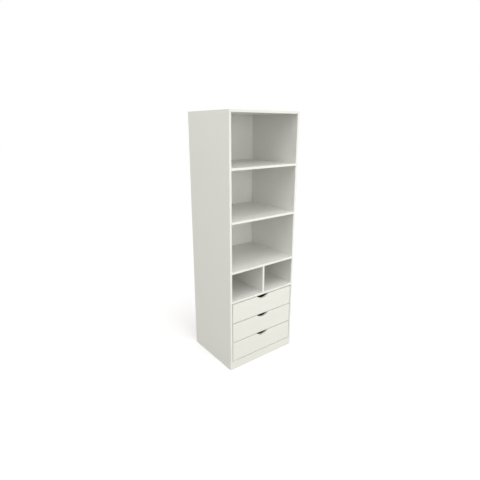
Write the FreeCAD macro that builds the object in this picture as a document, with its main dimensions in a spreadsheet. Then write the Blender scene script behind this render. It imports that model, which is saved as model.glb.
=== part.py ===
import FreeCAD, Part
import math
import os
import re
from collections import namedtuple

import Sketcher

# A tall bookcase: three open bays, a row of two cubbies and three drawers on roller runners.
# Millimetres, +Z up. The origin is on the floor at the middle of the footprint; the front faces -Y.

doc = FreeCAD.newDocument("bookcase")

DRAWERS = ("lower", "middle", "upper")
BAYS = 3
NAILS_PER_SIDE = 9
PLINTH_DOWEL_SHARES = (0.3, 0.7)
RAIL_SCREW_SHARES = (0.12, 0.5, 0.88)
NAIL_X_SHARE = 0.25

# Driving dimensions.
DIMENSIONS = {
    # The case: boards, levels and reveals.
    "width": 600.0,
    "height": 1830.0,
    "case_depth": 493.0,
    "board": 16.0,
    "back_board": 3.0,
    "back_inset": 2.0,
    "edge_round": 0.5,
    "plinth_height": 67.5,
    "drawer_front_height": 149.0,
    "reveal": 5.0,
    "top_reveal": 6.5,
    "cubby_height": 205.0,
    # Fits of everything that sits in a bore.
    "fit_clear": 0.05,
    "bore_spare": 1.0,
    # Cam locks and cam bolts of the case. A skin is the wood left behind a fitting.
    "cam_d": 15.0,
    "cam_skin": 3.5,
    "cam_reach": 24.0,
    "cam_inset": 60.0,
    "cam_recess": 2.0,
    "slot_clear": 0.2,
    "bolt_thread_d": 5.0,
    "bolt_skin": 5.0,
    "bolt_shank_d": 6.0,
    "bolt_head_d": 7.0,
    "bolt_head_length": 5.0,
    "bolt_play": 0.5,
    # Dowels. Part of each sits in the face of a board, the rest in the end of another.
    "dowel_d": 8.0,
    "dowel_length": 30.0,
    "dowel_skin": 6.0,
    "dowel_offset": 32.0,
    "dowel_chamfer": 0.8,
    # Nails of the back panel, heads flush.
    "nail_d": 1.6,
    "nail_length": 20.0,
    "nail_head_d": 5.0,
    "nail_head": 0.8,
    "nail_point": 2.0,
    "nail_margin": 40.0,
    # Short flat-headed screws of the cabinet rails and the wall bracket.
    "short_screw_d": 4.0,
    "screw_skin": 4.0,
    "short_screw_head_d": 7.0,
    "short_screw_head": 0.9,
    # Long screws of the drawer backs and the drawer rails.
    "long_screw_d": 3.5,
    "long_screw_length": 25.0,
    "long_screw_head_d": 7.0,
    "long_screw_head": 2.2,
    # Cross recess of the screws and cams, and the length of a screw's point.
    "cross_length": 4.2,
    "cross_width": 1.1,
    "short_cross_depth": 0.6,
    "long_cross_depth": 1.4,
    "screw_point": 3.0,
    # Drawer boxes.
    "drawer_board": 12.0,
    "rear_gap": 27.0,
    "drawer_side_height": 104.0,
    "side_lift": 14.0,
    "drawer_bottom": 3.0,
    "groove_depth": 4.0,
    "groove_lift": 10.0,
    "groove_clear": 0.1,
    "pull_width": 106.0,
    "pull_depth": 23.5,
    "pull_round": 8.0,
    "fixing_edge": 22.0,
    "fixing_spacing": 40.0,
    # Small cam locks and bolts between a drawer's front and sides.
    "mini_cam_d": 12.0,
    "mini_cam_skin": 2.0,
    "mini_cam_reach": 20.0,
    "mini_shank_d": 4.5,
    "mini_head_d": 6.0,
    "mini_head_length": 4.0,
    # Roller runners, in the gap between a drawer and the case. The overlap stays in the case when it is open.
    "runner_gap": 12.5,
    "metal": 1.2,
    "rail_overlap": 110.0,
    "rail_setback": 3.0,
    "rail_play": 0.4,
    "lip_gap": 0.4,
    "runner_play": 1.3,
    "runner_rise": 22.0,
    "foot_inset": 2.0,
    "stop_thickness": 2.0,
    "stop_height": 3.0,
    "stop_gap": 0.5,
    "roller_d": 15.0,
    "roller_side": 0.4,
    "roller_round": 0.6,
    "roller_inset": 18.0,
    "roll_gap": 0.3,
    "axle_d": 4.0,
    "axle_clear": 0.05,
    "rivet_d": 7.0,
    "rivet_head": 0.8,
    # Wall bracket on the top, at the back.
    "bracket_width": 30.0,
    "bracket_leg": 40.0,
    "bracket_rise": 22.0,
    "bracket_metal": 2.0,
    "bracket_hole_d": 5.0,
    "bracket_hole_lift": 13.0,
    "bracket_screw_set": 24.0,
    "bracket_screw_spacing": 16.0,
}

# Sizes and levels that follow from the driving dimensions.
DERIVED = {
    "front": "-(case_depth + back_board) / 2",
    "inner_width": "width - 2 * board",
    "inner_half": "inner_width / 2",
    "bottom_z": "plinth_height - board",
    "drawer_pitch": "drawer_front_height + reveal",
    "cubby_floor_z": f"plinth_height + {len(DRAWERS)} * drawer_pitch + top_reveal",
    "lower_shelf_z": "cubby_floor_z + board + cubby_height",
    "bay_height": f"(height - lower_shelf_z - {BAYS + 1} * board) / {BAYS}",
    "middle_shelf_z": "lower_shelf_z + board + bay_height",
    "upper_shelf_z": "middle_shelf_z + board + bay_height",
    "top_z": "height - board",
    "cam_height": "board - cam_skin",
    "cam_rear": "case_depth - cam_inset",
    "bolt_thread_length": "board - bolt_skin",
    "bolt_bore_d": "bolt_head_d + 2 * bolt_play",
    "dowel_in_face": "board - dowel_skin",
    "dowel_front": "cam_inset + dowel_offset",
    "dowel_rear": "cam_rear - dowel_offset",
    "short_screw_length": "board - screw_skin",
    "nail_low": "bottom_z + nail_margin",
    "nail_pitch": f"(height - nail_margin - nail_low) / {NAILS_PER_SIDE - 1}",
    "front_width": "inner_width - 2 * reveal",
    "box_width": "inner_width - 2 * runner_gap",
    "box_inner": "box_width - 2 * drawer_board",
    "side_front": "front + board",
    "drawer_length": "case_depth - board - rear_gap",
    "back_lift": "groove_lift + drawer_bottom + 2 * groove_clear",
    "fixing_high": "drawer_side_height - fixing_edge",
    "fixing_low": "fixing_high - fixing_spacing",
    "pull_radius": "(pull_width ^ 2 / 4 + pull_depth ^ 2) / (2 * pull_depth)",
    "mini_cam_height": "drawer_board - mini_cam_skin",
    "mini_bore_d": "mini_head_d + 2 * bolt_play",
    "rail_length": "drawer_length",
    "drawer_travel": "rail_length - rail_overlap",
    "rail_height": "roller_d + roll_gap + rail_play + 2 * metal",
    "rail_reach": "runner_gap - metal - runner_play",
    "rail_drop": "runner_rise - rail_height - lip_gap - metal",
    "lip_reach": "runner_gap - 2 * metal - runner_play",
    "foot_reach": "drawer_board - foot_inset",
    "foot_screw_set": "(drawer_board - groove_depth) / 2",
    "roller_width": "lip_reach - 2 * roller_side - rivet_head",
    "axle_length": "roller_width + 2 * roller_side",
    "low_roller_z": "metal + roll_gap + roller_d / 2",
    "high_roller_z": "rail_height + lip_gap - roll_gap - roller_d / 2",
    "roller_rest": "rail_length - roller_inset - rail_setback",
}
for number, drawer in enumerate(DRAWERS):
    DERIVED[f"{drawer}_drawer_z"] = f"plinth_height + reveal + {number} * drawer_pitch"
    DERIVED[f"{drawer}_side_z"] = f"{drawer}_drawer_z + side_lift"
    DERIVED[f"{drawer}_rail_z"] = f"{drawer}_side_z + rail_drop"

NAME = re.compile(r"[a-z_]+")


def in_document(formula):
    """The formula with each name put in the object that holds it."""

    def owned(match):
        word = match.group()
        if word in DIMENSIONS:
            return f"Sizes.{word}"
        return f"Places.{word}"

    return NAME.sub(owned, formula)


def bind(target, path, formula):
    target.setExpression(path, in_document(formula))


def fill_sheet():
    sheet = doc.addObject("Spreadsheet::Sheet", "Sizes")
    for row, (alias, value) in enumerate(DIMENSIONS.items(), start=1):
        sheet.set(f"A{row}", alias)
        sheet.set(f"B{row}", str(value))
        sheet.setAlias(f"B{row}", alias)


def fill_places():
    places = doc.addObject("App::VarSet", "Places")
    for name, formula in DERIVED.items():
        places.addProperty("App::PropertyFloat", name)
        bind(places, name, formula)


fill_sheet()
fill_places()
doc.recompute()

# Helpers: bodies, sketches and features in a body's own axes, all in formulas.

NODES = []
CUTS = []
Circle = namedtuple("Circle", "centre diameter")
Square = namedtuple("Square", "role sign")
SQUARE_TO = {"X": Square("YZ_Plane", 1), "Y": Square("XZ_Plane", -1), "Z": Square("XY_Plane", 1)}
START_RADIUS = 10.0


def place(target, corner):
    for letter, formula in zip("xyz", corner):
        bind(target, f"Placement.Base.{letter}", formula)


def new_body(label, corner=("0", "0", "0"), kept=True):
    body = doc.addObject("PartDesign::Body", label)
    body.Label = label
    place(body, corner)
    if kept:
        NODES.append(body)
    return body


def rectangle(low, high):
    return [low, (high[0], low[1]), high, (low[0], high[1])]


def cross(length, width):
    """A plus sign about the origin."""
    far = f"{length} / 2"
    near = f"{width} / 2"
    quarter = [(far, f"-{near}"), (far, near), (near, near)]
    points = []
    for turn in range(4):
        for across, up in quarter:
            points.append((across, up))
        quarter = [(f"-({up})", across) for across, up in quarter]
    return points


def draw_outline(sketch, points):
    """A closed outline with every corner set by its two coordinates."""
    first = sketch.GeometryCount
    count = len(points)
    starts = []
    for number in range(count):
        angle = 2 * math.pi * number / count
        starts.append(FreeCAD.Vector(START_RADIUS * math.cos(angle), START_RADIUS * math.sin(angle), 0))
    for number in range(count):
        sketch.addGeometry(Part.LineSegment(starts[number], starts[(number + 1) % count]))
    for number in range(count):
        follower = first + (number + 1) % count
        sketch.addConstraint(Sketcher.Constraint("Coincident", first + number, 2, follower, 1))
    for number, (across, up) in enumerate(points):
        start = starts[number]
        for kind, formula, value in (("DistanceX", across, start.x), ("DistanceY", up, start.y)):
            datum = sketch.addConstraint(Sketcher.Constraint(kind, first + number, 1, value))
            bind(sketch, f"Constraints[{datum}]", formula)


def draw_circle(sketch, shape):
    """A circle set by its centre's two coordinates and its diameter."""
    start = FreeCAD.Vector(START_RADIUS, START_RADIUS, 0)
    index = sketch.addGeometry(Part.Circle(start, FreeCAD.Vector(0, 0, 1), START_RADIUS))
    across, up = shape.centre
    for kind, formula in (("DistanceX", across), ("DistanceY", up)):
        datum = sketch.addConstraint(Sketcher.Constraint(kind, index, 3, START_RADIUS))
        bind(sketch, f"Constraints[{datum}]", formula)
    datum = sketch.addConstraint(Sketcher.Constraint("Diameter", index, 2 * START_RADIUS))
    bind(sketch, f"Constraints[{datum}]", shape.diameter)


def new_sketch(body, axis, level, shapes):
    """Shapes on a plane square to the axis, at that level along it."""
    square = SQUARE_TO[axis]
    sketch = body.newObject("Sketcher::SketchObject", "Sketch")
    plane = next(item for item in body.Origin.OriginFeatures if item.Role == square.role)
    sketch.AttachmentSupport = [(plane, "")]
    sketch.MapMode = "FlatFace"
    bind(sketch, "AttachmentOffset.Base.z", f"{square.sign} * ({level})")
    for shape in shapes:
        if isinstance(shape, Circle):
            draw_circle(sketch, shape)
        else:
            draw_outline(sketch, shape)
    return sketch


def add(body, axis, level, direction, length, *shapes):
    """Pad the shapes from the level, along the axis (direction 1) or against it (-1)."""
    feature = body.newObject("PartDesign::Pad", "Pad")
    feature.Profile = new_sketch(body, axis, level, shapes)
    feature.Reversed = direction != SQUARE_TO[axis].sign
    bind(feature, "Length", length)


def cut(body, axis, level, direction, length, *shapes):
    """Cut the shapes from the level, along the axis (direction 1) or against it (-1)."""
    feature = body.newObject("PartDesign::Pocket", "Pocket")
    feature.Profile = new_sketch(body, axis, level, shapes)
    feature.Reversed = direction == SQUARE_TO[axis].sign
    bind(feature, "Length", length)
    CUTS.append(feature)


def turn(label, profile):
    """A master turned about X from a profile of (x, radius) corners."""
    body = new_body(label, kept=False)
    feature = body.newObject("PartDesign::Revolution", "Revolution")
    sketch = new_sketch(body, "Y", "0", [profile])
    feature.Profile = sketch
    feature.ReferenceAxis = (sketch, ["H_Axis"])
    return body


def panel(label, corner, size):
    """A plain board, by its low corner and its size along X, Y and Z."""
    body = new_body(label, corner)
    add(body, "Z", "0", 1, size[2], rectangle(("0", "0"), size[:2]))
    return body


def mirror(label, source, kept=True):
    """The right-hand twin of a left-hand piece."""
    twin = doc.addObject("Part::Mirroring", label)
    twin.Label = label
    twin.Source = source
    twin.Base = FreeCAD.Vector(0, 0, 0)
    twin.Normal = FreeCAD.Vector(1, 0, 0)
    if kept:
        NODES.append(twin)
    return twin


def compound(label, members, kept=True):
    group = doc.addObject("Part::Compound", label)
    group.Label = label
    group.Links = members
    if kept:
        NODES.append(group)
    return group


def copies(master, corners, rotation):
    """Copies of a master, each turned alike and set at its own place."""
    links = []
    for corner in corners:
        link = doc.addObject("App::Link", f"{master.Label}_copy")
        link.LinkedObject = master
        link.Placement = FreeCAD.Placement(FreeCAD.Vector(0, 0, 0), rotation)
        place(link, corner)
        links.append(link)
    return links


def paired(label, left_links, middle_links=()):
    """One node of the left-hand copies, their right-hand twins and any copies in the middle."""
    left = compound(f"{label}_left_set", left_links, kept=False)
    right = mirror(f"{label}_right_set", left, kept=False)
    return compound(label, [left, right, *middle_links])


def bore(diameter):
    """The bore that takes a fitting of this diameter."""
    return f"{diameter} + 2 * fit_clear"


AS_MADE = FreeCAD.Rotation()
HALF_TURN_X = FreeCAD.Rotation(FreeCAD.Vector(1, 0, 0), 180)
HALF_TURN_Z = FreeCAD.Rotation(FreeCAD.Vector(0, 0, 1), 180)
X_TO_Y = FreeCAD.Rotation(FreeCAD.Vector(0, 0, 1), 90)
X_TO_UP = FreeCAD.Rotation(FreeCAD.Vector(0, 1, 0), -90)
X_TO_DOWN = FreeCAD.Rotation(FreeCAD.Vector(0, 1, 0), 90)
X_TO_Y_Z_TO_X = FreeCAD.Rotation(FreeCAD.Vector(1, 1, 1), 120)

# Masters of the fittings, made for the left-hand side: X = 0 is the joint's face and the case side is at -X.


def cam_lock(label, diameter, depth, axis_height, shank_d, head_d, head_length):
    """A cam from its visible face (Z = 0) up, with its slot open towards -X."""
    body = new_body(label, kept=False)
    add(body, "Z", "0", 1, depth, Circle(("0", "0"), diameter))
    cut(body, "Z", "0", 1, "cam_recess", cross(f"{diameter} / 2", "cross_width"))
    for level, run, width in (
        (f"-{diameter} / 2", f"{diameter} / 2 + slot_clear", shank_d),
        (f"-{head_length} - slot_clear", f"{head_length} + 2 * slot_clear", head_d),
    ):
        half = f"({width} / 2 + slot_clear)"
        low = (f"-{half}", f"{axis_height} - {half}")
        high = (half, f"{axis_height} + {half}")
        cut(body, "X", level, 1, run, rectangle(low, high))
    return body


def cam_bolt(label, reach, shank_d, head_d, head_length):
    """A bolt with its thread at -X and its head in the cam."""
    return turn(label, [
        ("-bolt_thread_length", "0"),
        (reach, "0"),
        (reach, f"{head_d} / 2"),
        (f"{reach} - {head_length}", f"{head_d} / 2"),
        (f"{reach} - {head_length}", f"{shank_d} / 2"),
        ("0", f"{shank_d} / 2"),
        ("0", "bolt_thread_d / 2"),
        ("-bolt_thread_length", "bolt_thread_d / 2"),
    ])


def screw(label, kind, cross_depth=None):
    """A screw or nail with its shank towards -X and its head's underside at X = 0."""
    point = "screw_point" if cross_depth else "nail_point"
    body = turn(label, [
        (f"-{kind}_length", "0"),
        (f"{kind}_head", "0"),
        (f"{kind}_head", f"{kind}_head_d / 2"),
        ("0", f"{kind}_head_d / 2"),
        ("0", f"{kind}_d / 2"),
        (f"{point} - {kind}_length", f"{kind}_d / 2"),
    ])
    if cross_depth:
        cut(body, "X", f"{kind}_head", -1, cross_depth, cross("cross_length", "cross_width"))
    return body


def dowel_master():
    inside = "dowel_length - dowel_in_face"
    return turn("dowel", [
        ("-dowel_in_face", "0"),
        (inside, "0"),
        (inside, "dowel_d / 2 - dowel_chamfer"),
        (f"{inside} - dowel_chamfer", "dowel_d / 2"),
        ("dowel_chamfer - dowel_in_face", "dowel_d / 2"),
        ("-dowel_in_face", "dowel_d / 2 - dowel_chamfer"),
    ])


case_cam = cam_lock(
    "cam_lock", "cam_d", "cam_height", "board / 2", "bolt_shank_d", "bolt_head_d", "bolt_head_length",
)
case_bolt = cam_bolt("cam_bolt", "cam_reach", "bolt_shank_d", "bolt_head_d", "bolt_head_length")
mini_cam = cam_lock(
    "mini_cam_lock", "mini_cam_d", "mini_cam_height", "drawer_board / 2", "mini_shank_d", "mini_head_d",
    "mini_head_length",
)
mini_bolt = cam_bolt("mini_cam_bolt", "mini_cam_reach", "mini_shank_d", "mini_head_d", "mini_head_length")
dowel = dowel_master()
nail = screw("nail", "nail")
short_screw = screw("short_screw", "short_screw", "short_cross_depth")
long_screw = screw("long_screw", "long_screw", "long_cross_depth")

# The case's boards. Each is drilled in its own axes, with its low corner at zero.

SHELF_LEVELS = {
    "bottom_panel": "bottom_z",
    "cubby_floor": "cubby_floor_z",
    "lower_shelf": "lower_shelf_z",
    "middle_shelf": "middle_shelf_z",
    "upper_shelf": "upper_shelf_z",
    "top_panel": "top_z",
}
CAM_DEPTHS = ("cam_inset", "cam_rear")
DOWEL_DEPTHS = ("dowel_front", "dowel_rear")
DIVIDER_DEPTHS = CAM_DEPTHS
NAIL_BITE = "nail_length - back_board + nail_head + bore_spare"
DOWEL_IN_END = "dowel_length - dowel_in_face + bore_spare"
DOWEL_IN_FACE = "dowel_in_face + bore_spare"
PLINTH_BOARDS = {"plinth_front": ("0", "plinth_height"), "plinth_rear": ("case_depth - board", "bottom_z")}


def plinth_dowel_places():
    """Depth from the case front and height of each plinth dowel."""
    places = []
    for setback, rise in PLINTH_BOARDS.values():
        for share in PLINTH_DOWEL_SHARES:
            places.append((f"{setback} + board / 2", f"{share} * {rise}"))
    return places


def side_nail_levels():
    return [f"nail_low + {number} * nail_pitch" for number in range(NAILS_PER_SIDE)]


def left_side_panel():
    body = panel("left_side_panel", ("-width / 2", "front", "0"), ("board", "case_depth", "height"))
    middles = [f"{level} + board / 2" for level in SHELF_LEVELS.values()]
    bolts = [(depth, middle) for middle in middles for depth in CAM_DEPTHS]
    dowels = [(depth, middle) for middle in middles for depth in DOWEL_DEPTHS] + plinth_dowel_places()
    rail_screws = []
    for drawer in DRAWERS:
        for share in RAIL_SCREW_SHARES:
            rail_screws.append((
                f"board + rail_setback + {share} * rail_length",
                f"{drawer}_rail_z + rail_height / 2",
            ))
    for places, diameter, depth in (
        (bolts, bore("bolt_thread_d"), "bolt_thread_length + bore_spare"),
        (dowels, bore("dowel_d"), DOWEL_IN_FACE),
        (rail_screws, bore("short_screw_d"), "short_screw_length - metal + bore_spare"),
    ):
        cut(body, "X", "board", -1, depth, *[Circle(centre, diameter) for centre in places])
    nails = [Circle(("board / 2", level), bore("nail_d")) for level in side_nail_levels()]
    cut(body, "Y", "case_depth", -1, NAIL_BITE, *nails)
    return body


def shelf(label, level, setback="0"):
    """A board between the sides, with its fittings let into its ends."""
    deep = f"case_depth - {setback}"
    body = panel(label, ("-inner_half", f"front + {setback}", level), ("inner_width", deep, "board"))
    cams_above = label == "top_panel"
    cams = []
    for across in ("cam_reach", "inner_width - cam_reach"):
        for depth in CAM_DEPTHS:
            cams.append(Circle((across, f"{depth} - {setback}"), bore("cam_d")))
    cut(body, "Z", "board" if cams_above else "0", -1 if cams_above else 1, "cam_height + fit_clear", *cams)
    for end, direction in (("0", 1), ("inner_width", -1)):
        bolts = [Circle((f"{depth} - {setback}", "board / 2"), "bolt_bore_d") for depth in CAM_DEPTHS]
        dowels = [Circle((f"{depth} - {setback}", "board / 2"), bore("dowel_d")) for depth in DOWEL_DEPTHS]
        cut(body, "X", end, direction, "cam_reach", *bolts)
        cut(body, "X", end, direction, DOWEL_IN_END, *dowels)
    nails = []
    for share in (NAIL_X_SHARE, 1 - NAIL_X_SHARE):
        nails.append(Circle((f"{share} * inner_width", "board / 2"), bore("nail_d")))
    cut(body, "Y", deep, -1, NAIL_BITE, *nails)
    return body


def divider_bores(body, level, direction):
    """Bores for the divider's dowels in a board's face."""
    dowels = [Circle(("inner_half", depth), bore("dowel_d")) for depth in DIVIDER_DEPTHS]
    cut(body, "Z", level, direction, DOWEL_IN_FACE, *dowels)


def cubby_divider():
    body = panel("cubby_divider", ("-board / 2", "front", "cubby_floor_z + board"),
                 ("board", "case_depth", "cubby_height"))
    for end, direction in (("0", 1), ("cubby_height", -1)):
        dowels = [Circle(("board / 2", depth), bore("dowel_d")) for depth in DIVIDER_DEPTHS]
        cut(body, "Z", end, direction, DOWEL_IN_END, *dowels)
    return body


def plinth(label, setback, rise):
    body = panel(label, ("-inner_half", f"front + {setback}", "0"), ("inner_width", "board", rise))
    for end, direction in (("0", 1), ("inner_width", -1)):
        dowels = []
        for share in PLINTH_DOWEL_SHARES:
            dowels.append(Circle(("board / 2", f"{share} * {rise}"), bore("dowel_d")))
        cut(body, "X", end, direction, DOWEL_IN_END, *dowels)
    return body


def nail_places():
    """Width and height of the left-hand nails, from the case's middle and the floor."""
    places = [("board / 2 - width / 2", level) for level in side_nail_levels()]
    for level in SHELF_LEVELS.values():
        places.append((f"({NAIL_X_SHARE} * inner_width) - inner_half", f"{level} + board / 2"))
    return places


def back_panel():
    wide = "width - 2 * back_inset"
    body = panel("back_panel", ("back_inset - width / 2", "front + case_depth", "bottom_z"),
                 (wide, "back_board", "height - back_inset - bottom_z"))
    shanks = []
    heads = []
    for across, level in nail_places():
        for side in (1, -1):
            centre = (f"{side} * ({across}) + width / 2 - back_inset", f"{level} - bottom_z")
            shanks.append(Circle(centre, bore("nail_d")))
            heads.append(Circle(centre, bore("nail_head_d")))
    cut(body, "Y", "back_board", -1, "back_board", *shanks)
    cut(body, "Y", "back_board", -1, "nail_head", *heads)
    return body


left_side = left_side_panel()
shelves = {}
for shelf_label, shelf_level in SHELF_LEVELS.items():
    shelf_setback = "board" if shelf_label == "bottom_panel" else "0"
    shelves[shelf_label] = shelf(shelf_label, shelf_level, shelf_setback)
divider_bores(shelves["cubby_floor"], "board", -1)
divider_bores(shelves["lower_shelf"], "0", 1)
divider = cubby_divider()
plinths = {label: plinth(label, *seat) for label, seat in PLINTH_BOARDS.items()}
back_panel()
mirror("right_side_panel", left_side)

# The case's fittings.


def case_cams():
    links = []
    for label, level in SHELF_LEVELS.items():
        above = label == "top_panel"
        face = f"{level} + board" if above else level
        corners = [("cam_reach - inner_half", f"front + {depth}", face) for depth in CAM_DEPTHS]
        links += copies(case_cam, corners, HALF_TURN_X if above else AS_MADE)
    return links


def end_places(depths):
    """Where each shelf's left end meets the side panel, at these depths."""
    corners = []
    for level in SHELF_LEVELS.values():
        for depth in depths:
            corners.append(("-inner_half", f"front + {depth}", f"{level} + board / 2"))
    return corners


def divider_dowels():
    low = [("0", f"front + {depth}", "cubby_floor_z + board") for depth in DIVIDER_DEPTHS]
    high = [("0", f"front + {depth}", "lower_shelf_z") for depth in DIVIDER_DEPTHS]
    return copies(dowel, low, X_TO_UP) + copies(dowel, high, X_TO_DOWN)


plinth_ends = [("-inner_half", f"front + {depth}", level) for depth, level in plinth_dowel_places()]
nail_seat = "front + case_depth + back_board - nail_head"
nail_heads = [(across, nail_seat, level) for across, level in nail_places()]
paired("cam_locks", case_cams())
paired("cam_bolts", copies(case_bolt, end_places(CAM_DEPTHS), AS_MADE))
paired("dowels", copies(dowel, end_places(DOWEL_DEPTHS) + plinth_ends, AS_MADE), divider_dowels())
paired("back_nails", copies(nail, nail_heads, X_TO_Y))

# The wall bracket: an L on the top panel, its upright flush with the back.

BRACKET_SCREW_X = ("-bracket_screw_spacing / 2", "bracket_screw_spacing / 2")


def wall_bracket():
    body = new_body("wall_bracket",
                    ("-bracket_width / 2", "front + case_depth + back_board - bracket_leg", "height"))
    add(body, "X", "0", 1, "bracket_width", [
        ("0", "0"),
        ("bracket_leg", "0"),
        ("bracket_leg", "bracket_rise"),
        ("bracket_leg - bracket_metal", "bracket_rise"),
        ("bracket_leg - bracket_metal", "bracket_metal"),
        ("0", "bracket_metal"),
    ])
    wall_hole = Circle(("bracket_width / 2", "bracket_hole_lift"), "bracket_hole_d")
    cut(body, "Y", "bracket_leg", -1, "bracket_metal", wall_hole)
    screws = []
    for across in BRACKET_SCREW_X:
        screws.append(Circle((f"bracket_width / 2 + ({across})", "bracket_leg - bracket_screw_set"),
                             bore("short_screw_d")))
    cut(body, "Z", "bracket_metal", -1, "bracket_metal", *screws)
    pilots = []
    for across in BRACKET_SCREW_X:
        pilots.append(Circle((f"inner_half + ({across})", "case_depth + back_board - bracket_screw_set"),
                             bore("short_screw_d")))
    cut(shelves["top_panel"], "Z", "board", -1, "short_screw_length - bracket_metal + bore_spare", *pilots)


wall_bracket()

# The drawers and their runners, one set for each level.


def drawer_front(drawer):
    body = new_body(f"{drawer}_drawer_front", ("-front_width / 2", "front", f"{drawer}_drawer_z"))
    add(body, "Y", "0", 1, "board", rectangle(("0", "0"), ("front_width", "drawer_front_height")))
    pull = Circle(("front_width / 2", "drawer_front_height - pull_depth + pull_radius"), "2 * pull_radius")
    cut(body, "Y", "0", 1, "board", pull)
    groove_half = "(box_inner / 2 + groove_depth)"
    groove_low = "side_lift + groove_lift"
    groove = rectangle((f"front_width / 2 - {groove_half}", groove_low),
                       (f"front_width / 2 + {groove_half}", "side_lift + back_lift"))
    cut(body, "Y", "board", -1, "groove_depth", groove)
    bolts = []
    for side in (1, -1):
        for level in ("fixing_low", "fixing_high"):
            across = f"front_width / 2 + {side} * (box_width - drawer_board) / 2"
            bolts.append(Circle((across, f"side_lift + {level}"), bore("bolt_thread_d")))
    cut(body, "Y", "board", -1, "bolt_thread_length + bore_spare", *bolts)
    return body


def drawer_left_side(drawer):
    body = panel(f"{drawer}_drawer_left_side", ("-box_width / 2", "side_front", f"{drawer}_side_z"),
                 ("drawer_board", "drawer_length", "drawer_side_height"))
    groove = rectangle(("0", "groove_lift"), ("drawer_length", "back_lift"))
    cut(body, "X", "drawer_board", -1, "groove_depth", groove)
    levels = ("fixing_low", "fixing_high")
    cams = [Circle(("mini_cam_reach", level), bore("mini_cam_d")) for level in levels]
    cut(body, "X", "0", 1, "mini_cam_height + fit_clear", *cams)
    bolts = [Circle(("drawer_board / 2", level), "mini_bore_d") for level in levels]
    cut(body, "Y", "0", 1, "mini_cam_reach", *bolts)
    back_middle = "drawer_length - drawer_board / 2"
    back_screws = [Circle((back_middle, level), bore("long_screw_d")) for level in levels]
    cut(body, "X", "0", 1, "drawer_board", *back_screws)
    rail_screws = []
    for share in RAIL_SCREW_SHARES:
        rail_screws.append(Circle(("foot_screw_set", f"{share} * rail_length"), bore("long_screw_d")))
    cut(body, "Z", "0", 1, "long_screw_length - metal + bore_spare", *rail_screws)
    return body


def drawer_back(drawer):
    back_front = "side_front + drawer_length - drawer_board"
    body = panel(f"{drawer}_drawer_back",
                 ("-box_inner / 2", back_front, f"{drawer}_side_z + back_lift"),
                 ("box_inner", "drawer_board", "drawer_side_height - back_lift"))
    bite = "long_screw_length - drawer_board + bore_spare"
    for end, direction in (("0", 1), ("box_inner", -1)):
        screws = []
        for level in ("fixing_low", "fixing_high"):
            screws.append(Circle(("drawer_board / 2", f"{level} - back_lift"), bore("long_screw_d")))
        cut(body, "X", end, direction, bite, *screws)
    return body


def drawer_bottom(drawer):
    half = "(box_inner / 2 + groove_depth - groove_clear)"
    tuck = "(groove_depth - groove_clear)"
    return panel(f"{drawer}_drawer_bottom",
                 (f"-{half}", f"side_front - {tuck}", f"{drawer}_side_z + groove_lift + groove_clear"),
                 (f"2 * {half}", f"drawer_length + {tuck}", "drawer_bottom"))


def riveted_axle(body, level, direction, centre):
    """An axle and its flat head, standing out of a rail's web."""
    add(body, "X", level, direction, "axle_length", Circle(centre, "axle_d"))
    add(body, "X", f"{level} + {direction} * axle_length", direction, "rivet_head", Circle(centre, "rivet_d"))


def left_cabinet_rail(drawer):
    """A C-shaped rail on the case side, with the front roller's axle and two stops."""
    body = new_body(f"{drawer}_left_cabinet_rail",
                    ("-inner_half", "side_front + rail_setback", f"{drawer}_rail_z"))
    add(body, "Y", "0", 1, "rail_length", [
        ("0", "0"),
        ("rail_reach", "0"),
        ("rail_reach", "metal"),
        ("metal", "metal"),
        ("metal", "rail_height - metal"),
        ("rail_reach", "rail_height - metal"),
        ("rail_reach", "rail_height"),
        ("0", "rail_height"),
    ])
    roller_clear = "roller_inset + roller_d / 2 + stop_thickness"
    cut(body, "Z", "rail_height", -1, "metal", rectangle(("metal", "0"), ("rail_reach", roller_clear)))
    screws = []
    for share in RAIL_SCREW_SHARES:
        screws.append(Circle((f"{share} * rail_length", "rail_height / 2"), bore("short_screw_d")))
    cut(body, "X", "metal", -1, "metal", *screws)
    riveted_axle(body, "metal", 1, ("roller_inset", "high_roller_z"))
    out_face = "roller_rest - drawer_travel - roller_d / 2 - stop_gap"
    out_stop = rectangle(("metal", f"{out_face} - stop_thickness"), ("rail_reach", out_face))
    add(body, "Z", "metal", 1, "stop_height", out_stop)
    in_face = "roller_rest + roller_d / 2 + stop_gap"
    in_stop = rectangle(("metal", in_face), ("rail_reach", f"{in_face} + stop_thickness"))
    add(body, "Z", "metal", 1, "rail_height - 2 * metal", in_stop)
    return body


def left_drawer_rail(drawer):
    """A rail under the drawer side: a foot, a web beside it and a lip that rides on the front roller."""
    body = new_body(f"{drawer}_drawer_left_rail",
                    ("-box_width / 2 - metal - lip_reach", "side_front", f"{drawer}_side_z - metal"))
    top = "(runner_rise + metal)"
    add(body, "Y", "0", 1, "rail_length", [
        ("lip_reach", "0"),
        ("lip_reach + metal + foot_reach", "0"),
        ("lip_reach + metal + foot_reach", "metal"),
        ("lip_reach + metal", "metal"),
        ("lip_reach + metal", top),
        ("0", top),
        ("0", f"{top} - metal"),
        ("lip_reach", f"{top} - metal"),
    ])
    screws = []
    for share in RAIL_SCREW_SHARES:
        screws.append(Circle(("lip_reach + metal + foot_screw_set", f"{share} * rail_length"),
                             bore("long_screw_d")))
    cut(body, "Z", "metal", -1, "metal", *screws)
    centre = ("rail_length - roller_inset", "metal + rail_drop + low_roller_z")
    riveted_axle(body, "lip_reach", -1, centre)
    return body


def rollers(label, corner):
    """A left and a right roller on one axis."""
    body = new_body(f"{label}_left_one", corner, kept=False)
    rim = Circle(("0", "0"), "roller_d")
    hole = Circle(("0", "0"), "axle_d + 2 * axle_clear")
    add(body, "X", "0", 1, "roller_width", rim, hole)
    compound(label, [body, mirror(f"{label}_right_one", body, kept=False)])
    return body


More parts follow.
